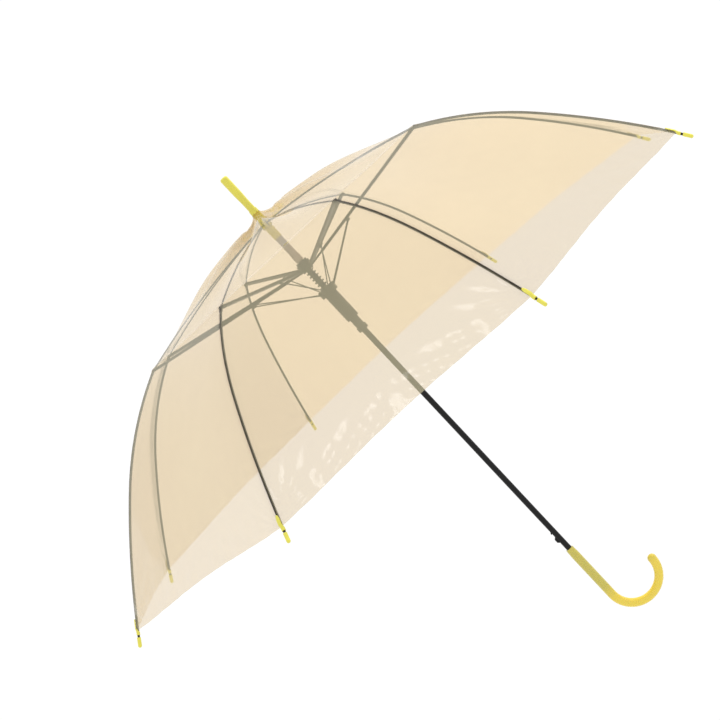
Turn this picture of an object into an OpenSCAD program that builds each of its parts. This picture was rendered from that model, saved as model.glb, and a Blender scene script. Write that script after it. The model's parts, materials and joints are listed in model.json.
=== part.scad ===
// Clear bubble umbrella, open, on a crook handle.
// The shaft lies along Z with the ferrule up. The origin is the middle of the straight grip,
// and the crook turns towards +X.
// Heights along the shaft are "drops": millimetres below the tip of the ferrule.

/* [Overall] */
// Height of the ferrule's tip above the middle of the grip
tip_height = 724; // [704:1:744]
// Number of ribs, evenly spaced round the shaft
rib_count = 8; // [6:1:8]
// Facets of a full circle
$fn = 64; // [32:8:96]

/* [Shaft] */
// Outer diameter of the shaft tube
shaft_d = 8; // [7:0.1:8]
// Wall of the shaft tube
shaft_wall = 0.5; // [0.4:0.1:0.8]
// Drop of the shaft's upper end, inside the ferrule
shaft_top = 30; // [25:1:40]
// Drop of the shaft's lower end, inside the handle
shaft_bottom = 745; // [734:1:752]

/* [Ferrule and crown] */
// Diameter of the ferrule's head
ferrule_d = 11.4; // [10.8:0.1:12]
// Drop of the lower end of the ferrule's head
ferrule_head = 28; // [20:1:34]
// Diameter of the ferrule's slimmer stem
ferrule_stem_d = 10.2; // [9.6:0.1:10.8]
// Diameter of the collar at the ferrule's foot
ferrule_collar_d = 12; // [11.4:0.1:12.2]
// Drop of the collar's upper end
ferrule_collar = 57; // [54:1:60]
// Drop of the ferrule's lower end
ferrule_bottom = 75; // [72:1:76]
// Diameter of the slotted notch that the ribs hinge in
notch_d = 14.6; // [14:0.1:15]
// Diameter of the crown below the notch
crown_d = 11.3; // [11:0.1:11.6]
// Drop of the crown's lower end
crown_bottom = 107; // [100:1:112]
// Diameter of the spacer sleeve under the crown
sleeve_d = 10.2; // [9.6:0.1:10.6]
// Drop of the upper end of the stop, where the sleeve ends
stop_top = 138; // [130:1:142]
// Drop of the lower end of the stop
stop_bottom = 149.4; // [146:0.2:149.6]

/* [Ribs] */
// Length of a rib from its hinge to the hub pivot of its stretcher's joint
rib_upper = 244; // [242:0.5:246]
// Drop of the rib hinges in the notch
rib_hinge_drop = 82; // [81.5:0.1:82.5]
// Radius of the circle that the rib and stretcher hinges lie on
hinge_r = 6; // [5.9:0.05:6.1]
// Diameter of the upper rib's steel wire
upper_wire_d = 1.8; // [1.6:0.1:1.9]
// Diameter of the lower rib's rod
rod_d = 3.2; // [3:0.1:3.2]
// How far the upper rib turns down along its length, in degrees
upper_turn = 11; // [8:0.1:12]
// Slope of the rod where it leaves the joint, in degrees below level
rod_slope = 25; // [24:0.5:28]
// Length of the rod's tight bend
bend_len = 160; // [150:1:170]
// Slope of the rod at the end of its tight bend
bend_slope = 45; // [43:0.5:47]
// Length of the rod's flatter outer stretch
outer_len = 193; // [190:1:200]
// Slope of the rod at its tip
tip_slope = 54.5; // [53:0.5:58]
// Diameter of a tip cap
cap_d = 5; // [4.6:0.1:5.4]
// Length of a tip cap
cap_len = 13; // [10:0.5:16]

/* [Stretchers and links] */
// Drop of the stretcher hinges in the stretcher ring
stretcher_hinge_drop = 163.5; // [163:0.5:164]
// Outer width of the stretcher's channel
channel_w = 4.6; // [4.4:0.1:4.6]
// Depth of the stretcher's channel
channel_h = 3.5; // [3:0.1:3.6]
// Sheet thickness of the channel
channel_wall = 0.5; // [0.4:0.05:0.5]
// Length of the flattened tongue next to the stretcher ring
tongue_len = 30; // [29:1:34]
// Distance from the stretcher's hinge to the link's tab
tab_at = 85; // [80:1:88]
// How far the link's end lies below the stretcher's middle
tab_drop = 3; // [2.8:0.1:3.4]
// Diameter of a link's wire
link_d = 1.6; // [1.4:0.1:1.6]
// Sideways offset of a link from its stretcher
link_side = 3.4; // [3.4:0.05:3.5]

/* [Stretcher ring, spring and runner] */
// Diameter of the stretcher ring's hub
ring_hub_d = 16.4; // [16:0.2:17]
// Diameter of the stretcher ring's flange
ring_flange_d = 20; // [19:0.5:20]
// Drop of the link hinges in the runner
link_hinge_drop = 202; // [200:0.5:204]
// Radius of the circle that the link hinges lie on
link_hinge_r = 11; // [10.8:0.1:11.2]
// Diameter of the runner's slotted head
head_d = 26; // [25.4:0.2:27]
// Diameter of the runner's barrel
barrel_d = 18; // [17:0.2:19]
// Drop of the barrel's lower end
barrel_bottom = 252; // [246:1:256]
// Diameter of the runner's neck
neck_d = 12.3; // [11.5:0.1:13]
// Diameter of the runner's end flange
end_flange_d = 15; // [14:0.2:16]
// Mean diameter of the opening spring
spring_d = 12; // [11.8:0.1:12.2]
// Wire diameter of the opening spring
spring_wire_d = 1.5; // [1.2:0.1:1.5]
// Number of turns of the opening spring
spring_turns = 14; // [12:1:20]

/* [Canopy] */
// Length of film along a rib, from the rib hinge to the corner
film_len = 579; // [565:1:582]
// Thickness of the film
film_t = 0.25; // [0.2:0.05:0.4]
// Height of the film's inner face above the ribs' middle
film_off = 2.6; // [2.5:0.1:3]
// How far the hem rises between two corners
hem_rise = 10; // [5:1:25]
// Rows of facets from the ferrule to the joint's ring
inner_rows = 8; // [6:1:10]
// Rows of facets from the joint's ring to the hem
outer_rows = 10; // [8:1:12]

/* [Catch] */
// Drop of the flat lower step of the catch's tooth
tooth_step = 645.3; // [645:0.1:645.6]
// How far the tooth stands out of the shaft
tooth_out = 1.3; // [1:0.1:1.6]
// Drop of the middle of the catch's thumb piece
thumb_drop = 656; // [655.5:0.5:657]
// How far the thumb piece stands out of the shaft
thumb_out = 2.6; // [2.2:0.1:2.8]

/* [Handle] */
// Diameter of the grip and the crook
grip_d = 12.4; // [11.6:0.1:13]
// Diameter of the grip's upper end
grip_top_d = 11.2; // [10.6:0.1:12]
// Drop of the handle's upper end
grip_top = 675; // [672:1:678]
// Drop of the grip's cylinder's upper end
grip_shoulder = 688; // [684:1:690]
// Drop of the middle of the crook's half circle
crook_drop = 760; // [759:1:762]
// Radius of the crook's middle line
crook_r = 36; // [34:0.5:38]

/* [Hidden] */
RIBS = [for (k = [1 : rib_count]) k];

eps = 0.01;
half_sector = 180 / rib_count;
shaft_r = shaft_d / 2;
bore_r = shaft_r + 0.05;
slide_r = shaft_r + 0.08;

// Hinge wires and the eyes that turn on them
wire_r = 0.5;
eye_bore_r = wire_r + 0.06;
eye_r = 1.3;
eye_w = 1.6;
slot_w = 2.2;

// The joint between upper rib, rod and stretcher
pin_r = 0.9;
pin_bore_r = pin_r + 0.05;
knuckle_r = 2;
fork_in = 1;
fork_out = 1.5;
fork_len = 9;
rod_start = 4.5;
// The channel's web stops short of the joint, to let the folded rod through
web_gap = 13;

// The rib hinge, the stretcher hinge and the joint make an isosceles triangle:
// the stretcher is as long as the upper rib, so that the stretcher ring slides straight.
hinge_z = tip_height - rib_hinge_drop;
ring_z = tip_height - stretcher_hinge_drop;
head_z = tip_height - link_hinge_drop;
rib_slope = asin((hinge_z - ring_z) / 2 / rib_upper);
joint_r = hinge_r + rib_upper * cos(rib_slope);
joint_z = (hinge_z + ring_z) / 2;

// Place of the stretcher's tab and the link that reaches it
tab_r = hinge_r + tab_at * cos(rib_slope) + tab_drop * sin(rib_slope);
tab_z = ring_z + tab_at * sin(rib_slope) - tab_drop * cos(rib_slope);
link_len = norm([tab_r - link_hinge_r, tab_z - head_z]);
link_rise = atan2(tab_z - head_z, tab_r - link_hinge_r);

// Arcs of a rib, each as [length, slope at its start, slope at its end]
upper_len = rib_upper * (upper_turn / 2 * PI / 180) / sin(upper_turn / 2);
ARCS = [
    [upper_len, rib_slope - upper_turn / 2, rib_slope + upper_turn / 2],
    [bend_len, rod_slope, bend_slope],
    [outer_len, bend_slope, tip_slope]
];
function arc_r(arc) = arc[0] * 180 / PI / (arc[2] - arc[1]);
function arc_step(arc, len) =
    let (a = arc[1] + (arc[2] - arc[1]) * len / arc[0])
    arc_r(arc) * [sin(a) - sin(arc[1]), cos(a) - cos(arc[1])];
joint = [joint_r, joint_z];
bend_end = joint + arc_step(ARCS[1], bend_len);
rod_end = bend_end + arc_step(ARCS[2], outer_len);
STARTS = [[hinge_r, hinge_z], joint, bend_end];

function arc_at(u) = u < upper_len ? 0 : u < upper_len + bend_len ? 1 : 2;
function along(u) = u - (arc_at(u) == 0 ? 0 : arc_at(u) == 1 ? upper_len : upper_len + bend_len);
// Point of a rib's middle line at the length u from its hinge, and its slope there
function rib_point(u) = STARTS[arc_at(u)] + arc_step(ARCS[arc_at(u)], along(u));
function rib_slope_at(u) =
    let (arc = ARCS[arc_at(u)])
    arc[1] + (arc[2] - arc[1]) * along(u) / arc[0];

function rib_angle(k) = half_sector * (2 * k - 1);
module at_rib(k) rotate([0, 0, rib_angle(k)]) children();
// Turns a cylinder's axis from Z to the hinge axis of a rib, centred sideways at y
module hinge_cylinder(r, w, y = 0) translate([0, y, 0]) rotate([90, 0, 0]) cylinder(r = r, h = w, center = true);
// A ring on the shaft between two drops
module ring(d, top, bottom) translate([0, 0, tip_height - bottom]) cylinder(d = d, h = bottom - top);
// A round rod along an arc in the rib's plane
module arc_rod(start, arc, d, from, to) {
    radius = arc_r(arc);
    a0 = arc[1] + (arc[2] - arc[1]) * from / arc[0];
    a1 = arc[1] + (arc[2] - arc[1]) * to / arc[0];
    translate([start[0] - radius * sin(arc[1]), 0, start[1] - radius * cos(arc[1])])
        rotate([90, 0, 0])
            rotate([0, 0, 90 - a1])
                rotate_extrude(angle = a1 - a0, $fn = 360)
                    translate([radius, 0])
                        circle(d = d, $fn = 24);
}
// A wire bent round the shaft, with one straight stretch for each rib
module hinge_ring(flat_r, z, r) {
    for (k = RIBS) at_rib(k)
        translate([flat_r, 0, z]) hinge_cylinder(r, 2 * (flat_r + 0.6 * r) * tan(half_sector));
}
// Radial slots for the hinge eyes
module eye_slots(floor_r, top, bottom, y = 0) {
    for (k = RIBS) at_rib(k)
        translate([floor_r, y - slot_w / 2, tip_height - bottom])
            cube([30, slot_w, bottom - top]);
}

module shaft() color("dimgray") difference() {
    ring(shaft_d, shaft_top, shaft_bottom);
    ring(shaft_d - 2 * shaft_wall, shaft_top - 1, shaft_bottom + 1);
    translate([-shaft_d, -1.3, tip_height - thumb_drop - 7])
        cube([shaft_d, 2.6, thumb_drop - tooth_step + 14]);
}

module ferrule() color("gold") {
    round_r = 3;
    head_r = ferrule_d / 2;
    taper = 14;
    difference() {
        union() {
            translate([0, 0, tip_height - ferrule_head]) rotate_extrude() {
                square([head_r - round_r, ferrule_head]);
                square([head_r, ferrule_head - round_r]);
                intersection() {
                    translate([head_r - round_r, ferrule_head - round_r]) circle(r = round_r);
                    square([ferrule_d, ferrule_head]);
                }
            }
            translate([0, 0, tip_height - ferrule_head - taper])
                cylinder(d1 = ferrule_stem_d, d2 = ferrule_d, h = taper + eps);
            ring(ferrule_stem_d, ferrule_head + taper - eps, ferrule_collar);
            ring(ferrule_collar_d, ferrule_collar, ferrule_bottom);
        }
        ring(2 * bore_r, shaft_top, ferrule_bottom + 1);
    }
}

module top_notch() color("gold") difference() {
    union() {
        ring(notch_d, ferrule_bottom, rib_hinge_drop + 6);
        ring(crown_d, rib_hinge_drop + 6 - eps, crown_bottom);
        ring(11.8, 91, 95);
    }
    ring(2 * bore_r, ferrule_bottom - 1, crown_bottom + 1);
    eye_slots(4.7, ferrule_bottom + 1.5, rib_hinge_drop + 7);
    hinge_ring(hinge_r, hinge_z, wire_r + 0.03);
}

module notch_wire() color("silver") hinge_ring(hinge_r, hinge_z, wire_r);

module stop_sleeve() color("rosybrown") difference() {
    union() {
        ring(sleeve_d, crown_bottom, stop_top + eps);
        ring(crown_d, stop_top, stop_bottom);
    }
    ring(2 * bore_r, crown_bottom - 1, stop_bottom + 1);
}

module stretcher_ring() color("dimgray") difference() {
    union() {
        ring(ring_hub_d, 150, stretcher_hinge_drop + 2.5);
        ring(ring_flange_d, 153, 157.5);
    }
    ring(2 * slide_r, 149, stretcher_hinge_drop + 4);
    eye_slots(4.6, 149, stretcher_hinge_drop + 1.6);
    hinge_ring(hinge_r, ring_z, wire_r + 0.03);
}

module stretcher_wire() color("silver") hinge_ring(hinge_r, ring_z, wire_r);

// Outline of the spring's wire: rings of points along the coil
spring_sides = 6;
spring_steps = 12;
spring_top_z = ring_z - 2.8;
spring_floor = 240;
spring_len = spring_top_z - (tip_height - spring_floor) - spring_wire_d - 0.3;
function coil_point(i, j) =
    let (turn = 360 * i / spring_steps, side = 360 * j / spring_sides,
         rad = spring_d / 2 + spring_wire_d / 2 * cos(side))
    [rad * cos(turn), rad * sin(turn),
     spring_top_z - spring_wire_d / 2 - spring_len * i / (spring_steps * spring_turns)
     + spring_wire_d / 2 * sin(side)];
module opening_spring() color("silver") {
    n = spring_steps * spring_turns;
    m = spring_sides;
    polyhedron(
        points = [for (i = [0 : n]) for (j = [0 : m - 1]) coil_point(i, j)],
        faces = concat(
            [[for (j = [0 : m - 1]) m - 1 - j]],
            [for (i = [0 : n - 1]) for (j = [0 : m - 1])
                [i * m + j, i * m + (j + 1) % m, (i + 1) * m + (j + 1) % m]],
            [for (i = [0 : n - 1]) for (j = [0 : m - 1])
                [i * m + j, (i + 1) * m + (j + 1) % m, (i + 1) * m + j]],
            [[for (j = [0 : m - 1]) n * m + j]]
        )
    );
}

module runner() color("dimgray") difference() {
    union() {
        ring(head_d, 197, 208);
        ring(barrel_d, 208 - eps, barrel_bottom);
        ring(neck_d, barrel_bottom - eps, 266);
        ring(end_flange_d, 266 - eps, 273);
    }
    ring(2 * slide_r, 190, 280);
    ring(14, 190, spring_floor);
    eye_slots(9.3, 190, link_hinge_drop + 2, link_side);
    hinge_ring(link_hinge_r, head_z, wire_r + 0.03);
    // Window that the catch's tooth springs into when the umbrella is closed
    translate([-end_flange_d, -1.6, tip_height - 270]) cube([end_flange_d, 3.2, 7]);
}

module link_wire() color("silver") hinge_ring(link_hinge_r, head_z, wire_r);

module catch() color("silver") {
    in_x = -2.2;
    strip_x = -3;
    tooth_x = -shaft_r - tooth_out;
    thumb_x = -shaft_r - thumb_out;
    translate([0, 1, tip_height]) rotate([90, 0, 0]) linear_extrude(2) polygon([
        [in_x, -(tooth_step - 14)],
        [strip_x, -(tooth_step - 14)],
        [strip_x, -(tooth_step - 5.5)],
        [tooth_x, -(tooth_step - 1)],
        [tooth_x, -tooth_step],
        [strip_x, -tooth_step],
        [strip_x, -(thumb_drop - 6)],
        [thumb_x, -(thumb_drop - 2.5)],
        [thumb_x, -(thumb_drop + 2.5)],
        [strip_x, -(thumb_drop + 6)],
        [strip_x, -(thumb_drop + 12)],
        [in_x, -(thumb_drop + 12)]
    ]);
}

module handle() color("khaki") difference() {
    union() {
        translate([0, 0, tip_height - grip_shoulder])
            cylinder(d1 = grip_d, d2 = grip_top_d, h = grip_shoulder - grip_top);
        ring(grip_d, grip_shoulder, crook_drop);
        translate([crook_r, 0, tip_height - crook_drop])
            rotate([90, 0, 0])
                rotate([0, 0, 180])
                    rotate_extrude(angle = 180, $fn = 128)
                        translate([crook_r, 0])
                            circle(d = grip_d);
        translate([2 * crook_r, 0, tip_height - crook_drop]) sphere(d = grip_d);
    }
    ring(2 * bore_r, grip_top - 1, shaft_bottom);
}

module upper_rib(k) color("black") at_rib(k) difference() {
    union() {
        translate([hinge_r, 0, hinge_z]) hinge_cylinder(eye_r, eye_w);
        arc_rod(STARTS[0], ARCS[0], upper_wire_d, 0, upper_len);
        translate([joint_r, 0, joint_z]) {
            hinge_cylinder(knuckle_r, eye_w);
            hinge_cylinder(pin_r, 2 * 2.8);
            for (side = [-1, 1]) hinge_cylinder(1.5, 0.4, side * 2.9);
        }
    }
    translate([hinge_r, 0, hinge_z]) hinge_cylinder(eye_bore_r, 4);
}

module rib_rod(k) color("black") at_rib(k) {
    arc_rod(STARTS[1], ARCS[1], rod_d, rod_start, bend_len);
    arc_rod(STARTS[2], ARCS[2], rod_d, 2 * eps, outer_len - 5);
    translate([joint_r, 0, joint_z]) for (side = [-1, 1])
        difference() {
            union() {
                hinge_cylinder(knuckle_r, fork_out - fork_in, side * (fork_in + fork_out) / 2);
                rotate([0, rod_slope, 0])
                    translate([0, side > 0 ? fork_in : -fork_out, -1.4])
                        cube([fork_len, fork_out - fork_in, 2.8]);
            }
            hinge_cylinder(pin_bore_r, 8);
        }
}

module tip_cap(k) color("gold") at_rib(k)
    translate([rod_end[0], 0, rod_end[1]])
        rotate([0, 90 + tip_slope, 0])
            difference() {
                union() {
                    translate([0, 0, -cap_len + cap_d / 2]) cylinder(d = cap_d, h = cap_len - cap_d / 2 + eps);
                    translate([0, 0, eps]) sphere(d = cap_d);
                }
                translate([0, 0, -cap_len]) cylinder(d = rod_d + 0.2, h = cap_len - 4);
            }

// The stretcher runs along X from its hinge to the joint
module stretcher(k) color("dimgray") at_rib(k)
    translate([hinge_r, 0, ring_z]) rotate([0, -rib_slope, 0]) {
        difference() {
            union() {
                hinge_cylinder(eye_r, eye_w);
                translate([0, -eye_w / 2, -1.2]) cube([tongue_len, eye_w, 2.4]);
                translate([tongue_len - 2, -channel_w / 2, -channel_h / 2])
                    cube([rib_upper - tongue_len + 2, channel_w, channel_h]);
                translate([rib_upper, 0, 0]) hinge_cylinder(channel_h / 2, channel_w);
                translate([tab_at - 2.5, channel_w / 2 - channel_wall, -tab_drop - 1.6])
                    cube([5, channel_wall, tab_drop]);
            }
            hinge_cylinder(eye_bore_r, 4);
            translate([tongue_len, channel_wall - channel_w / 2, channel_wall - channel_h / 2])
                cube([rib_upper, channel_w - 2 * channel_wall, channel_h]);
            translate([rib_upper - web_gap, channel_wall - channel_w / 2, -channel_h])
                cube([20, channel_w - 2 * channel_wall, 2 * channel_h]);
            translate([rib_upper, 0, 0]) hinge_cylinder(pin_bore_r, 8);
        }
    }

// The link runs along X from the runner to the stretcher's tab
module link(k) color("silver") at_rib(k)
    translate([link_hinge_r, link_side, head_z]) rotate([0, -link_rise, 0])
        difference() {
            union() {
                hinge_cylinder(eye_r, eye_w);
                rotate([0, 90, 0]) cylinder(d = link_d, h = link_len, $fn = 24);
                translate([link_len, 0, 0]) hinge_cylinder(1.5, eye_w);
            }
            hinge_cylinder(eye_bore_r, 4);
            translate([link_len, 0, 0]) hinge_cylinder(0.6, 4);
        }

// A canopy panel is centred on its rib. Between two ribs the film spans straight across.
film_cols = 6;
// Film drops next to the ferrule, as [radius, drop], before it meets the line of the ribs
FILM_TOP = [[7, 68], [8.3, 73.5]];
film_start = 9;
film_rows = len(FILM_TOP) + inner_rows + outer_rows;
function film_meridian(i, u, off) =
    i < len(FILM_TOP)
    ? [FILM_TOP[i][0] + off - film_off, tip_height - FILM_TOP[i][1] + off - film_off]
    : let (a = (rib_slope_at(u - 2) + rib_slope_at(u + 2)) / 2)
      rib_point(u) + off * [sin(a), cos(a)];
function film_u(i, v) =
    let (n = i - len(FILM_TOP),
         u = n <= inner_rows
             ? film_start + (upper_len - film_start) * n / inner_rows
             : upper_len + (film_len - upper_len) * (n - inner_rows) / outer_rows)
    u - hem_rise * pow(u / film_len, 3) * v * v;
function film_point(i, v, off) =
    let (p = film_meridian(i, film_u(i, v), off),
         w = v * (1 - 0.2 / (p[0] * tan(half_sector))))
    [p[0] * (1 - abs(v) * (1 - cos(2 * half_sector)) / 2),
     p[0] * w * sin(2 * half_sector) / 2,
     p[1]];
module canopy_panel(k) color("lightcyan", 0.4) at_rib(k) {
    cols = film_cols + 1;
    skin = cols * (film_rows + 1);
    polyhedron(
        points = concat(
            [for (i = [0 : film_rows]) for (j = [0 : film_cols])
                film_point(i, 2 * j / film_cols - 1, film_off)],
            [for (i = [0 : film_rows]) for (j = [0 : film_cols])
                film_point(i, 2 * j / film_cols - 1, film_off + film_t)]
        ),
        faces = concat(
            [for (i = [0 : film_rows - 1]) for (j = [0 : film_cols - 1]) for (f = film_cell(i, j, cols, 0)) f],
            [for (i = [0 : film_rows - 1]) for (j = [0 : film_cols - 1]) for (f = film_cell(i, j, cols, skin))
                [f[2], f[1], f[0]]],
            [for (i = [0 : film_rows - 1]) for (f = film_edge(i * cols, (i + 1) * cols, skin)) f],
            [for (i = [0 : film_rows - 1]) for (f = film_edge((i + 2) * cols - 1, (i + 1) * cols - 1, skin)) f],
            [for (j = [0 : film_cols - 1]) for (f = film_edge(j + 1, j, skin)) f],
            [for (j = [0 : film_cols - 1])
                for (f = film_edge(film_rows * cols + j, film_rows * cols + j + 1, skin)) f]
        )
    );
}
function film_cell(i, j, cols, base) =
    let (a = base + i * cols + j, b = a + 1, c = a + cols, d = c + 1)
    [[a, b, d], [a, d, c]];
function film_edge(a, b, skin) = [[a, b, b + skin], [a, b + skin, a + skin]];

shaft();
ferrule();
top_notch();
notch_wire();
stop_sleeve();
stretcher_ring();
stretcher_wire();
opening_spring();
runner();
link_wire();
catch();
handle();
for (k = RIBS) {
    upper_rib(k);
    rib_rod(k);
    tip_cap(k);
    stretcher(k);
    link(k);
    canopy_panel(k);
}
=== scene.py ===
"""A clear bubble umbrella, open. Everything is in metres, in the CAD model's frame."""
import json
import math

import bpy
import numpy as np
from mathutils import Matrix, Vector


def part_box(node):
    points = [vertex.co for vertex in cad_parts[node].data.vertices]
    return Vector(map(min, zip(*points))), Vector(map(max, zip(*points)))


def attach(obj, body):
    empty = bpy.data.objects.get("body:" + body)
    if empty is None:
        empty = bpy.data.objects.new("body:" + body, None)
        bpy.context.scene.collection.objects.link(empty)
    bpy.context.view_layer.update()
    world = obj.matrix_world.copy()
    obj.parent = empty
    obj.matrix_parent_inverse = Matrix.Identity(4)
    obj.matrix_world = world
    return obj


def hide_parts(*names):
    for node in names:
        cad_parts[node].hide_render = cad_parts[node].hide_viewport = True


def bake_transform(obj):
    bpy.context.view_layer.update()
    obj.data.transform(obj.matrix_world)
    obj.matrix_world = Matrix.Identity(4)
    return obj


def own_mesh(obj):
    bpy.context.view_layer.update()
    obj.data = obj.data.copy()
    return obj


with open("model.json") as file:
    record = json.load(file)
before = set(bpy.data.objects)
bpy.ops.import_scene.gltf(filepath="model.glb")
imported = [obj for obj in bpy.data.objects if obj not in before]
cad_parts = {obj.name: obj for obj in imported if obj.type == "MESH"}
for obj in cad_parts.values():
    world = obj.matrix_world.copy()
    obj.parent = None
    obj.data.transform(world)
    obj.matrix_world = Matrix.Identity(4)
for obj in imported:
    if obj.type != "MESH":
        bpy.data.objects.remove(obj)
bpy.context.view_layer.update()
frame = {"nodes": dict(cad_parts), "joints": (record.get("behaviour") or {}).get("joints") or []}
NODES = frame["nodes"]
JOINTS = {joint["name"]: joint for joint in frame["joints"]}

# ---------------------------------------------------------------- sizes from the frame

RIB_COUNT = 8
HALF_SECTOR = math.pi / RIB_COUNT
TIP_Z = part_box("ferrule")[1].z


def rib_azimuth(k):
    return HALF_SECTOR * (2 * k - 1)


def radial(position):
    """(distance from the shaft's axis, height) of a point."""
    return math.hypot(position[0], position[1]), position[2]


def at_rib(k, outward, sideways, height):
    """Points of rib k's own frame, turned round the shaft to where the rib is."""
    a = rib_azimuth(k)
    x = outward * math.cos(a) - sideways * math.sin(a)
    y = outward * math.sin(a) + sideways * math.cos(a)
    return np.stack([x, y, height], -1)


HINGE_R, HINGE_Z = radial(JOINTS["canopy_fold"]["pos_m"])
JOINT_R, JOINT_Z = radial(JOINTS["rod_flex_1"]["pos_m"])

# ---------------------------------------------------------------- the line of a rib
# An arc from the hinge to the joint, then the rod: one arc that bends more and one that bends less.
# A slope is the angle below the horizontal.

UPPER_TURN = math.radians(11)
ROD_SLOPE = math.radians(25)
BEND_SLOPE = math.radians(45)
TIP_SLOPE = math.radians(54.5)
BEND_LEN = 0.160        # the lengths of the rod's two arcs
OUTER_LEN = 0.193
UPPER_CHORD = math.hypot(JOINT_R - HINGE_R, JOINT_Z - HINGE_Z)
UPPER_LEN = UPPER_CHORD * (UPPER_TURN / 2) / math.sin(UPPER_TURN / 2)
CHORD_SLOPE = math.atan2(HINGE_Z - JOINT_Z, JOINT_R - HINGE_R)


def arc_step(length, slope0, slope1, u):
    """(way outwards, way upwards, slope) after the length u of an arc."""
    radius = length / (slope1 - slope0)
    slope = slope0 + (slope1 - slope0) * u / length
    outwards = radius * (np.sin(slope) - math.sin(slope0))
    upwards = radius * (np.cos(slope) - math.cos(slope0))
    return outwards, upwards, slope


def rib_line(u):
    """(radius, height, slope) of a rib's middle line at the lengths u from its hinge."""
    u = np.asarray(u, float)
    a = arc_step(UPPER_LEN, CHORD_SLOPE - UPPER_TURN / 2, CHORD_SLOPE + UPPER_TURN / 2, u)
    b = arc_step(BEND_LEN, ROD_SLOPE, BEND_SLOPE, u - UPPER_LEN)
    b_end = arc_step(BEND_LEN, ROD_SLOPE, BEND_SLOPE, BEND_LEN)
    c = arc_step(OUTER_LEN, BEND_SLOPE, TIP_SLOPE, u - UPPER_LEN - BEND_LEN)
    on_wire = u < UPPER_LEN
    on_bend = u < UPPER_LEN + BEND_LEN
    rod_r = np.where(on_bend, JOINT_R + b[0], JOINT_R + b_end[0] + c[0])
    rod_z = np.where(on_bend, JOINT_Z + b[1], JOINT_Z + b_end[1] + c[1])
    r = np.where(on_wire, HINGE_R + a[0], rod_r)
    z = np.where(on_wire, HINGE_Z + a[1], rod_z)
    slope = np.where(on_wire, a[2], np.where(on_bend, b[2], c[2]))
    return r, z, slope


# ---------------------------------------------------------------- the film's surface

FILM_LEN = 0.579         # along a rib, from its hinge to the film's corner
CROWN_LEN = 0.018        # the part of that next to the hinge, which is not attached to the rib
GATHER = 0.030           # length over which the film runs from the ferrule to the ribs
GATHER_R = 0.0062        # the film's inner edge, round the ferrule
GATHER_Z = TIP_Z - 0.062
GATHER_POWER = 0.8       # below 1, the film leaves the ferrule steeply
HEM_RISE = 0.006         # how much shorter the film is at mid-gore than along a rib
WIRE_COVER = 0.00105     # the film's height over the middle of the upper rib's wire
ROD_COVER = 0.0017       # and over the middle of the rod
COVER_CHANGE = 0.02      # length over which the one becomes the other, at the joint
PIN_COVER = 0.0024       # and over the joint's pin
PIN_REACH = 0.005
RIB_ROUND = 0.012        # how softly the film turns over a rib, as a share of the half gore

CROWN_BULGE = 0.013      # how far the gore stands out near the crown
BULGE_RISE = 0.04        # length along the rib over which it grows
BULGE_FADE_START = 0.09  # and where it starts to fade, and over what length
BULGE_FADE = 0.15
SADDLE = 0.003           # how far the gore sags in, lower down
SADDLE_START = 0.2
SADDLE_STEP = 0.15       # length over which it starts, and over which it eases
EASE_START = 0.42        # from here towards the hem it sags less, by this share
EASE_SHARE = 0.5

RIPPLE = 0.0006          # depth of the short waves next to the hem
WAVES_ACROSS = (31, 11)  # two crossing waves: radians per half gore,
WAVES_ALONG = (90, -130)  # radians per metre along the rib,
WAVES_SHIFT = (1.7, 2.3)  # and radians from one gore to the next
HEM_BAND = 0.012         # the waves are full in this band next to the hem
HEM_BAND_FADE = 0.05
WAVE_EDGE = 0.1          # share of the half gore over which they end at a rib and at mid-gore
FAN_DEPTH = 0.0004       # depth of the creases that fan out from a corner
FAN_START = 0.03         # distance from the corner at which they are full
FAN_REACH = 0.09         # and distance at which they have mostly faded
FAN_CREASES = 17
FAN_EDGE = 0.25          # radians next to the rib in which the fan ends
AT_CORNER = 1e-6         # metres, so that the corner itself has a bearing

NUDGE_U = 1e-4           # steps for the surface's slope, along the rib in metres
NUDGE_V = 5e-4           # and across, as a share of the half gore
TINY = 1e-12             # keeps a normal without length from dividing by zero


def step(value, start, length):
    """0 up to start, 1 from start + length on, and smooth between them."""
    t = np.clip((value - start) / length, 0, 1)
    return t * t * (3 - 2 * t)


def ripple(u, v, r, k):
    """Tension wrinkles: short waves next to the hem and a fan of creases at each corner."""
    gore = k + np.where(v > 0, 0.5, -0.5)
    across = np.abs(v)
    from_rib = across * r * math.tan(HALF_SECTOR)
    from_hem = FILM_LEN - u
    wave = 1.0
    for per_gore, per_metre, shift in zip(WAVES_ACROSS, WAVES_ALONG, WAVES_SHIFT):
        wave = wave * np.sin(across * per_gore + gore * shift + per_metre * u)
    wave = wave * (1 - step(from_hem, HEM_BAND, HEM_BAND_FADE))
    wave = wave * step(across, 0, WAVE_EDGE) * step(1 - across, 0, WAVE_EDGE)
    reach = np.hypot(from_rib, from_hem)
    bearing = np.arctan2(from_hem, from_rib + AT_CORNER)
    fan = np.sin(FAN_CREASES * bearing + gore) * step(reach, 0, FAN_START)
    fan = fan * np.exp(-((reach / FAN_REACH) ** 2)) * step(math.pi / 2 - bearing, 0, FAN_EDGE)
    return RIPPLE * wave + FAN_DEPTH * fan


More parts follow.
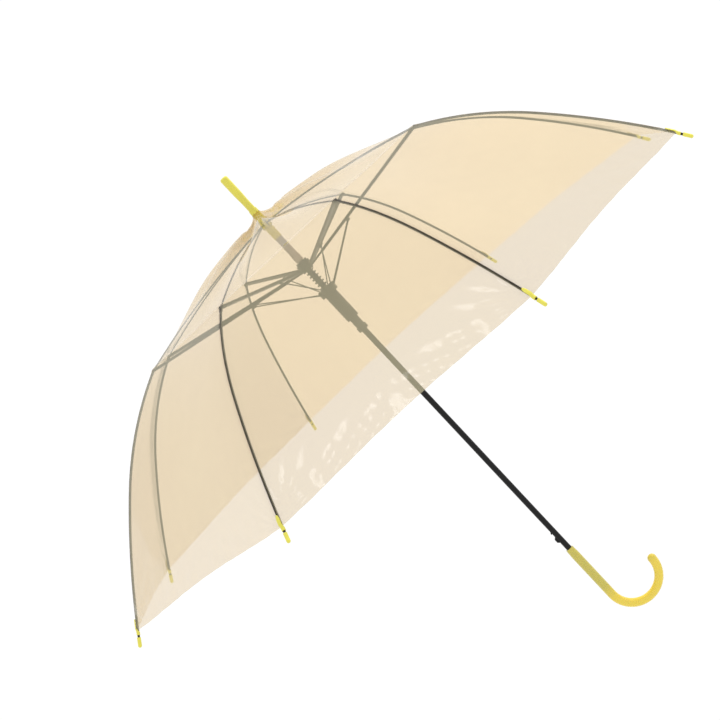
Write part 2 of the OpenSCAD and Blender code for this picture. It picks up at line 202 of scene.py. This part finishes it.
def film_points(u, v, k):
    """Points of the film over rib k. u runs along the rib, v from -1 to 1, mid-gore to mid-gore."""
    share = np.abs(v)
    belly = np.sin(np.pi / 2 * share) ** 2
    s = u - HEM_RISE * (u / FILM_LEN) ** 4 * belly
    r, z, slope = rib_line(np.maximum(s, 0))
    on_rod = step(s, UPPER_LEN - COVER_CHANGE / 2, COVER_CHANGE)
    cover = WIRE_COVER + (ROD_COVER - WIRE_COVER) * on_rod
    cover = cover + (PIN_COVER - cover) * np.exp(-(((s - UPPER_LEN) / PIN_REACH) ** 2))
    r = r + cover * np.sin(slope)
    z = z + cover * np.cos(slope)
    gathered = step(s, 0, GATHER)
    r = GATHER_R + (r - GATHER_R) * gathered
    z = np.where(s < GATHER, GATHER_Z + (z - GATHER_Z) * gathered ** GATHER_POWER, z)
    soft = np.sqrt(share ** 2 + RIB_ROUND ** 2) - RIB_ROUND
    soft = soft / (math.sqrt(1 + RIB_ROUND ** 2) - RIB_ROUND)
    outward = r * (1 - soft * (1 - math.cos(2 * HALF_SECTOR)) / 2)
    sideways = r * v * math.sin(2 * HALF_SECTOR) / 2
    bulge = step(s, 0, BULGE_RISE) * (1 - step(s, BULGE_FADE_START, BULGE_FADE))
    sag = step(s, SADDLE_START, SADDLE_STEP)
    sag = sag * (1 - EASE_SHARE * step(s, EASE_START, SADDLE_STEP))
    proud = belly * (CROWN_BULGE * bulge - SADDLE * sag) + ripple(u, v, r, k)
    outward = outward + proud * np.sin(slope) * math.cos(HALF_SECTOR)
    sideways = sideways + proud * np.sin(slope) * math.sin(HALF_SECTOR) * np.sign(v)
    return at_rib(k, outward, sideways, z + proud * np.cos(slope))


def film_normals(u, v, k):
    along = film_points(u + NUDGE_U, v, k) - film_points(u - NUDGE_U, v, k)
    across = film_points(u, v + NUDGE_V, k) - film_points(u, v - NUDGE_V, k)
    n = np.cross(along, across)
    return n / np.maximum(np.linalg.norm(n, axis=-1, keepdims=True), TINY)


# ---------------------------------------------------------------- meshes


def mesh_piece(name, points, faces):
    """An object with a mesh whose quads are smooth and whose end caps are flat."""
    mesh = bpy.data.meshes.new(name)
    mesh.from_pydata(points.reshape(-1, 3).tolist(), [], faces)
    mesh.update()
    for polygon in mesh.polygons:
        polygon.use_smooth = len(polygon.vertices) == 4
    piece = bpy.data.objects.new(name, mesh)
    bpy.context.scene.collection.objects.link(piece)
    return piece


def sheet_piece(name, points, normals):
    """A piece through a grid of points, with the surface's own normals."""
    rows, cols = points.shape[:2]
    index = np.arange(rows * cols).reshape(rows, cols)
    corners = [index[:-1, :-1], index[1:, :-1], index[1:, 1:], index[:-1, 1:]]
    piece = mesh_piece(name, points, np.stack(corners, -1).reshape(-1, 4).tolist())
    piece.data.normals_split_custom_set_from_vertices(normals.reshape(-1, 3).tolist())
    return piece


def ring_piece(name, rings):
    """A closed piece through a row of rings, each with the same number of points."""
    count, sides = rings.shape[:2]
    faces = []
    for i in range(count - 1):
        for j in range(sides):
            a = i * sides + j
            b = i * sides + (j + 1) % sides
            faces.append((a, b, b + sides, a + sides))
    faces.append(tuple(range(sides))[::-1])
    faces.append(tuple(range((count - 1) * sides, count * sides)))
    return mesh_piece(name, rings, faces)


# ---------------------------------------------------------------- materials

MIX_FACTOR, MIX_A, MIX_B, MIX_RESULT = 0, 6, 7, 2    # the Mix node's sockets for colours
NOISE_BAND = (0.3, 0.7)  # most of a noise's values lie here
FINE_BUMP = 0.0001       # metres


class Nodes:
    """A short way to build a material's node tree."""

    def __init__(self, name):
        self.material = bpy.data.materials.new(name)
        self.material.use_nodes = True
        self.tree = self.material.node_tree
        self.tree.nodes.clear()
        self.out = self.add("ShaderNodeOutputMaterial")

    def add(self, kind, **values):
        """A node with its settings, or the values of its sockets."""
        node = self.tree.nodes.new(kind)
        for key, value in values.items():
            if hasattr(node, key):
                setattr(node, key, value)
            else:
                node.inputs[key].default_value = value
        return node

    def link(self, a, b):
        self.tree.links.new(a, b)

    def surface(self, shader):
        """The finished material, with this shader on its surface."""
        self.link(shader.outputs[0], self.out.inputs["Surface"])
        return self.material

    def noise(self, scale, detail, roughness, stretch=(1, 1, 1)):
        place = self.add("ShaderNodeTexCoord")
        mapping = self.add("ShaderNodeMapping", Scale=stretch)
        self.link(place.outputs["Object"], mapping.inputs["Vector"])
        noise = self.add("ShaderNodeTexNoise", Scale=scale, Detail=detail, Roughness=roughness)
        self.link(mapping.outputs["Vector"], noise.inputs["Vector"])
        return noise.outputs["Fac"]

    def height(self):
        split = self.add("ShaderNodeSeparateXYZ")
        self.link(self.add("ShaderNodeTexCoord").outputs["Object"], split.inputs[0])
        return split.outputs["Z"]

    def ramp(self, value, low, high, start=0.0, end=1.0):
        """low where the value is at start, high where it is at end."""
        node = self.add("ShaderNodeMapRange")
        node.inputs["From Min"].default_value = start
        node.inputs["From Max"].default_value = end
        node.inputs["To Min"].default_value = low
        node.inputs["To Max"].default_value = high
        self.link(value, node.inputs["Value"])
        return node.outputs["Result"]

    def uneven(self, noise, value, low, high):
        """The value times low ... high, as the noise goes."""
        return self.ramp(noise, value * low, value * high, *NOISE_BAND)

    def between(self, factor, colour_a, colour_b):
        node = self.add("ShaderNodeMix", data_type="RGBA")
        node.inputs[MIX_A].default_value = (*colour_a, 1)
        node.inputs[MIX_B].default_value = (*colour_b, 1)
        self.link(factor, node.inputs[MIX_FACTOR])
        return node.outputs[MIX_RESULT]

    def bump(self, height, strength):
        node = self.add("ShaderNodeBump", Strength=strength, Distance=FINE_BUMP)
        self.link(height, node.inputs["Height"])
        return node.outputs["Normal"]


def moulded_plastic(name, colour, second, roughness=0.22, coat=0.4, specular=0.5,
                    subsurface=0.0, fade=None):
    """Moulded plastic of two colours. The second one is in the flow marks, or with
    fade = (height, height) it is all there is at the first height and gone at the other;
    this change by height is painted shade, the first colour being the shaded one."""
    n = Nodes(name)
    p = n.add("ShaderNodeBsdfPrincipled")
    flow = n.noise(scale=60, detail=4, roughness=0.6, stretch=(1, 1, 0.35))
    if fade:
        factor = n.ramp(n.height(), 0.0, 1.0, *fade)
    else:
        factor = n.ramp(flow, 0.0, 1.0, start=0.35, end=0.65)
    n.link(n.between(factor, second, colour), p.inputs["Base Color"])
    n.link(n.uneven(flow, roughness, 0.8, 1.25), p.inputs["Roughness"])
    p.inputs["Specular IOR Level"].default_value = specular
    p.inputs["Coat Weight"].default_value = coat
    p.inputs["Coat Roughness"].default_value = 0.08
    if subsurface:
        p.inputs["Subsurface Weight"].default_value = subsurface
        p.inputs["Subsurface Radius"].default_value = (1.0, 0.7, 0.2)
        p.inputs["Subsurface Scale"].default_value = 0.004
    return n.surface(p)


def painted_steel(name, colour, wear, roughness):
    """Black-coated steel, with slightly lighter handling marks."""
    n = Nodes(name)
    p = n.add("ShaderNodeBsdfPrincipled")
    marks = n.noise(scale=140, detail=5, roughness=0.65, stretch=(1, 1, 0.25))
    worn = n.ramp(marks, 0.0, 1.0, start=0.55, end=0.75)
    grain = n.noise(scale=1500, detail=2, roughness=0.5)
    n.link(n.between(worn, colour, wear), p.inputs["Base Color"])
    n.link(n.uneven(marks, roughness, 0.8, 1.3), p.inputs["Roughness"])
    n.link(n.bump(grain, strength=0.04), p.inputs["Normal"])
    p.inputs["Specular IOR Level"].default_value = 0.25
    return n.surface(p)


def bare_steel(name, colour, roughness=0.28):
    """Drawn steel wire, with fine lines along it and a little dulling."""
    n = Nodes(name)
    p = n.add("ShaderNodeBsdfPrincipled")
    lines = n.noise(scale=700, detail=3, roughness=0.6, stretch=(1, 1, 0.2))
    dulled = n.ramp(lines, 0.0, 1.0, start=0.4, end=0.7)
    dull = tuple(c * 0.7 for c in colour)
    n.link(n.between(dulled, colour, dull), p.inputs["Base Color"])
    n.link(n.uneven(lines, roughness, 0.7, 1.4), p.inputs["Roughness"])
    n.link(n.bump(lines, strength=0.08), p.inputs["Normal"])
    p.inputs["Metallic"].default_value = 1.0
    return n.surface(p)


def clear_film(name, haze, tint, glow, gloss_facing, gloss_edge):
    """Clear vinyl: see-through, milky where light comes through it, with a wet gloss on top."""
    n = Nodes(name)
    clear = n.add("ShaderNodeBsdfTransparent", Color=(*tint, 1))
    milky = n.add("ShaderNodeBsdfTranslucent", Color=(*glow, 1))
    cloud = n.noise(scale=7, detail=3, roughness=0.55)
    body = n.add("ShaderNodeMixShader")
    n.link(n.uneven(cloud, haze, 0.92, 1.08), body.inputs[0])
    n.link(clear.outputs[0], body.inputs[1])
    n.link(milky.outputs[0], body.inputs[2])
    gloss = n.add("ShaderNodeBsdfGlossy", Color=(1, 1, 1, 1), Roughness=0.08)
    facing = n.add("ShaderNodeLayerWeight", Blend=0.5)
    steep = n.add("ShaderNodeMath", operation="POWER")
    steep.inputs[1].default_value = 4
    n.link(facing.outputs["Facing"], steep.inputs[0])
    shine = n.add("ShaderNodeMixShader")
    n.link(n.ramp(steep.outputs[0], gloss_facing, gloss_edge), shine.inputs[0])
    n.link(body.outputs[0], shine.inputs[1])
    n.link(gloss.outputs[0], shine.inputs[2])
    return n.surface(shine)


YELLOW = (0.76, 0.70, 0.07)
YELLOW_SHADE = (0.68, 0.62, 0.07)
CROOK_YELLOW = (0.78, 0.60, 0.05)
# the next colour is painted shade on the handle's straight grip, and also the darker colour in the
# crown's flow marks
GRIP_PAINTED_SHADE_AND_FLOW_MARKS = (0.54, 0.47, 0.07)
CROWN_YELLOW = (0.64, 0.55, 0.02)
BLACK = (0.004, 0.004, 0.004)
WORN_BLACK = (0.010, 0.010, 0.010)
SLEEVE_GREY = (0.30, 0.24, 0.22)
SLEEVE_SHADE = (0.24, 0.19, 0.18)
SPRING_GREY = (0.10, 0.10, 0.09)
STEEL_GREY = (0.55, 0.54, 0.52)
GRIP_PAINTED_SHADE_HEIGHTS = (-0.042, -0.020)     # heights between which the crook's yellow becomes the grip's painted shade, darker for the black shaft inside the grip


def black_plastic(name, roughness, specular):
    return moulded_plastic(name, BLACK, WORN_BLACK, roughness, coat=0.0, specular=specular)


def black_steel(name, roughness):
    return painted_steel(name, BLACK, WORN_BLACK, roughness)


MATERIALS = {
    "shaft": black_steel("shaft_paint", roughness=0.22),
    "ferrule": moulded_plastic("ferrule_plastic", YELLOW, YELLOW_SHADE),
    "top_notch": moulded_plastic("crown_plastic", CROWN_YELLOW, GRIP_PAINTED_SHADE_AND_FLOW_MARKS,
                                 roughness=0.3, coat=0.0, specular=0.2),
    "tip_cap": moulded_plastic("cap_plastic", YELLOW, YELLOW_SHADE),
    "stop_sleeve": moulded_plastic("sleeve_plastic", SLEEVE_GREY, SLEEVE_SHADE,
                                   roughness=0.35, coat=0.0, specular=0.2),
    "stretcher_ring": black_plastic("ring_plastic", roughness=0.3, specular=0.3),
    "runner": black_plastic("runner_plastic", roughness=0.25, specular=0.5),
    "opening_spring": bare_steel("spring_steel", SPRING_GREY),
    "catch": black_steel("catch_paint", roughness=0.3),
    "upper_rib": black_steel("rib_wire_paint", roughness=0.3),
    "rib_rod": black_plastic("rod_resin", roughness=0.32, specular=0.2),
    "stretcher": black_steel("stretcher_paint", roughness=0.35),
    "link": black_steel("link_paint", roughness=0.35),
    # the grip above the crook gets painted shade, darker for the black shaft inside it
    "handle": moulded_plastic("handle_plastic", GRIP_PAINTED_SHADE_AND_FLOW_MARKS, CROOK_YELLOW,
                              roughness=0.16, coat=0.6, subsurface=0.15, fade=GRIP_PAINTED_SHADE_HEIGHTS),
    "canopy_panel": clear_film("vinyl_film", haze=0.31, tint=(0.80, 0.70, 0.625),
                               glow=(0.88, 0.82, 0.56), gloss_facing=0.014, gloss_edge=0.5),
}
HINGE_WIRE = bare_steel("hinge_wire_steel", STEEL_GREY)


def node_material(name):
    """The material of a CAD node. The longest name that fits wins: stretcher_ring, not stretcher."""
    if name.endswith("_wire"):
        return HINGE_WIRE
    return MATERIALS[max((key for key in MATERIALS if name.startswith(key)), key=len)]


for name, node in NODES.items():
    node.data.materials.clear()
    node.data.materials.append(node_material(name))

# ---------------------------------------------------------------- the canopy

CROWN_ROWS = 12
UPPER_ROWS = 40
LOWER_ROWS = 80
FILM_COLS = 64


def film_panel(name, k, u0, u1, rows):
    """The film over rib k between two lengths along the rib."""
    u_values = np.linspace(u0, u1, rows + 1)
    v_values = np.linspace(-1, 1, FILM_COLS + 1)
    u, v = np.meshgrid(u_values, v_values, indexing="ij")
    piece = sheet_piece(name, film_points(u, v, k), film_normals(u, v, k))
    piece.data.materials.append(MATERIALS["canopy_panel"])
    return piece


def fold_with(piece, body):
    """The film moves with the body, on a mesh of its own."""
    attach(piece, body)
    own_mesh(piece)


for k in range(1, RIB_COUNT + 1):
    crown = film_panel(f"film_crown_{k}", k, 0.0, CROWN_LEN, CROWN_ROWS)
    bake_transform(crown)
    upper = film_panel(f"film_upper_{k}", k, CROWN_LEN, UPPER_LEN, UPPER_ROWS)
    fold_with(upper, f"upper_rib_{k}")
    lower = film_panel(f"film_lower_{k}", k, UPPER_LEN, FILM_LEN, LOWER_ROWS)
    fold_with(lower, f"rib_rod_{k}")
    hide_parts(f"canopy_panel_{k}")

# ---------------------------------------------------------------- corner straps

STRAP_FROM = 0.564       # along the rib
STRAP_TO = 0.584
STRAP_ROWS = 18
STRAP_SIDES = 16
STRAP_LIFT = 0.0026      # the strap's middle over the rod's, before it comes down to the cap
STRAP_BEND = (0.55, 0.3)  # where it comes down: start and length, as shares of the strap
TAIL_WIDTH = 0.0010      # half the width of its end, and how much wider it gets
TAIL_WIDER = 0.0016
TAIL_SHARE = 0.25
FLAT_DEPTH = 0.0007      # half its thickness, and how much thicker it gets at the cap
CAP_DEEPER = 0.0016


def strap(name, k):
    """The yellow tab that holds the film's corner: flat over the rod, round at the cap."""
    u = np.linspace(STRAP_FROM, STRAP_TO, STRAP_ROWS)[:, None]
    angles = np.linspace(0, 2 * np.pi, STRAP_SIDES, endpoint=False)[None]
    r, z, slope = rib_line(u)
    share = (u - STRAP_FROM) / (STRAP_TO - STRAP_FROM)
    down = step(share, *STRAP_BEND)
    half_width = TAIL_WIDTH + TAIL_WIDER * np.sqrt(np.clip(share / TAIL_SHARE, 0, 1))
    half_depth = FLAT_DEPTH + CAP_DEEPER * down
    off_rod = STRAP_LIFT * (1 - down) + half_depth * np.sin(angles)
    rings = at_rib(k, r + np.sin(slope) * off_rod, half_width * np.cos(angles),
                   z + np.cos(slope) * off_rod)
    piece = ring_piece(name, rings)
    piece.data.materials.append(MATERIALS["tip_cap"])
    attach(piece, f"rib_rod_{k}")


for k in range(1, RIB_COUNT + 1):
    strap(f"film_strap_{k}", k)

# ---------------------------------------------------------------- the opening spring

COIL_WIRE_R = 0.0008
COIL_TURNS = 14
POINTS_PER_TURN = 32
COIL_SIDES = 10


def round_wire(name, path, radius, sides):
    """A round wire along a path of points, without twist."""
    along = np.gradient(path, axis=0)
    along /= np.linalg.norm(along, axis=1, keepdims=True)
    angles = np.linspace(0, 2 * np.pi, sides, endpoint=False)[:, None]
    side = np.cross(along[0], (0.0, 0.0, 1.0))
    rings = []
    for point, ahead in zip(path, along):
        side = side - ahead * side.dot(ahead)
        side /= np.linalg.norm(side)
        other = np.cross(ahead, side)
        rings.append(point + radius * (np.cos(angles) * side + np.sin(angles) * other))
    return ring_piece(name, np.array(rings))


low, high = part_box("opening_spring")
coil_r = (high.x - low.x) / 2 - COIL_WIRE_R
turn = np.linspace(0, 2 * np.pi * COIL_TURNS, COIL_TURNS * POINTS_PER_TURN)
coil_z = np.linspace(high.z - COIL_WIRE_R, low.z + COIL_WIRE_R, len(turn))
coil = np.stack([coil_r * np.cos(turn), coil_r * np.sin(turn), coil_z], -1)
spring = round_wire("coil_spring", coil, COIL_WIRE_R, COIL_SIDES)
spring.data.materials.append(MATERIALS["opening_spring"])
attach(spring, "stretcher_ring")
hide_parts("opening_spring")
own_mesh(spring)

# ---------------------------------------------------------------- camera

CAMERA_DISTANCE = 2.637  # from the shaft's axis
CAMERA_HEIGHT = 0.6003
CAMERA_AZIMUTH = math.radians(3.6)
CAMERA_YAW = math.radians(0.694)
CAMERA_PITCH = math.radians(-3.803)
CAMERA_ROLL = math.radians(-43.158)
CAMERA_LENS = 99.7       # millimetres, as is the sensor's width
SENSOR_WIDTH = 36

camera_data = bpy.data.cameras.new("camera")
camera_data.lens = CAMERA_LENS
camera_data.sensor_width = SENSOR_WIDTH
camera = bpy.data.objects.new("camera", camera_data)
bpy.context.scene.collection.objects.link(camera)
camera_x = math.sin(CAMERA_AZIMUTH) * CAMERA_DISTANCE
camera_y = -math.cos(CAMERA_AZIMUTH) * CAMERA_DISTANCE
camera.matrix_world = (
    Matrix.Translation((camera_x, camera_y, CAMERA_HEIGHT))
    @ Matrix.Rotation(CAMERA_AZIMUTH, 4, "Z")
    @ Matrix.Rotation(math.pi / 2, 4, "X")
    @ Matrix.Rotation(CAMERA_YAW, 4, "Y")
    @ Matrix.Rotation(CAMERA_PITCH, 4, "X")
    @ Matrix.Rotation(CAMERA_ROLL, 4, "Z")
)
bpy.context.scene.camera = camera

# ---------------------------------------------------------------- floor and light

WHITE = 1.04             # the brightness of the studio's walls and floor
FLOOR_Z = -0.9
FLOOR_HALF = 30
AIM = Vector((0, 0, 0.45))    # the point that the lights face

floor_mesh = bpy.data.meshes.new("floor")
floor_corners = [(x * FLOOR_HALF, y * FLOOR_HALF, FLOOR_Z)
                 for x, y in ((-1, -1), (1, -1), (1, 1), (-1, 1))]
floor_mesh.from_pydata(floor_corners, [], [(0, 1, 2, 3)])
floor = bpy.data.objects.new("floor", floor_mesh)
bpy.context.scene.collection.objects.link(floor)
paper = Nodes("floor_paper")
paper_glow = paper.add("ShaderNodeEmission", Color=(1, 1, 1, 1), Strength=WHITE)
floor_mesh.materials.append(paper.surface(paper_glow))

world = bpy.data.worlds.new("studio")
world.use_nodes = True
background = world.node_tree.nodes["Background"]
background.inputs["Color"].default_value = (1, 1, 1, 1)
background.inputs["Strength"].default_value = WHITE
bpy.context.scene.world = world


def round_light(name, position, diameter, power):
    data = bpy.data.lights.new(name, "AREA")
    data.shape = "DISK"
    data.size = diameter
    data.energy = power
    light = bpy.data.objects.new(name, data)
    bpy.context.scene.collection.objects.link(light)
    light.location = position
    light.rotation_euler = (AIM - Vector(position)).to_track_quat("-Z", "Y").to_euler()
    return light


# The key light comes through the far film and leaves no reflection of its own. The small light's
# reflections are the glints on the hem's ripples.
back_key = round_light("back_key", (2.3, 1.7, 3.1), diameter=1.4, power=155)
back_key.visible_glossy = False
round_light("glint", (-0.22, -1.72, 3.07), diameter=0.3, power=1.8)

view = bpy.context.scene.view_settings
view.view_transform = "Standard"
view.look = "None"
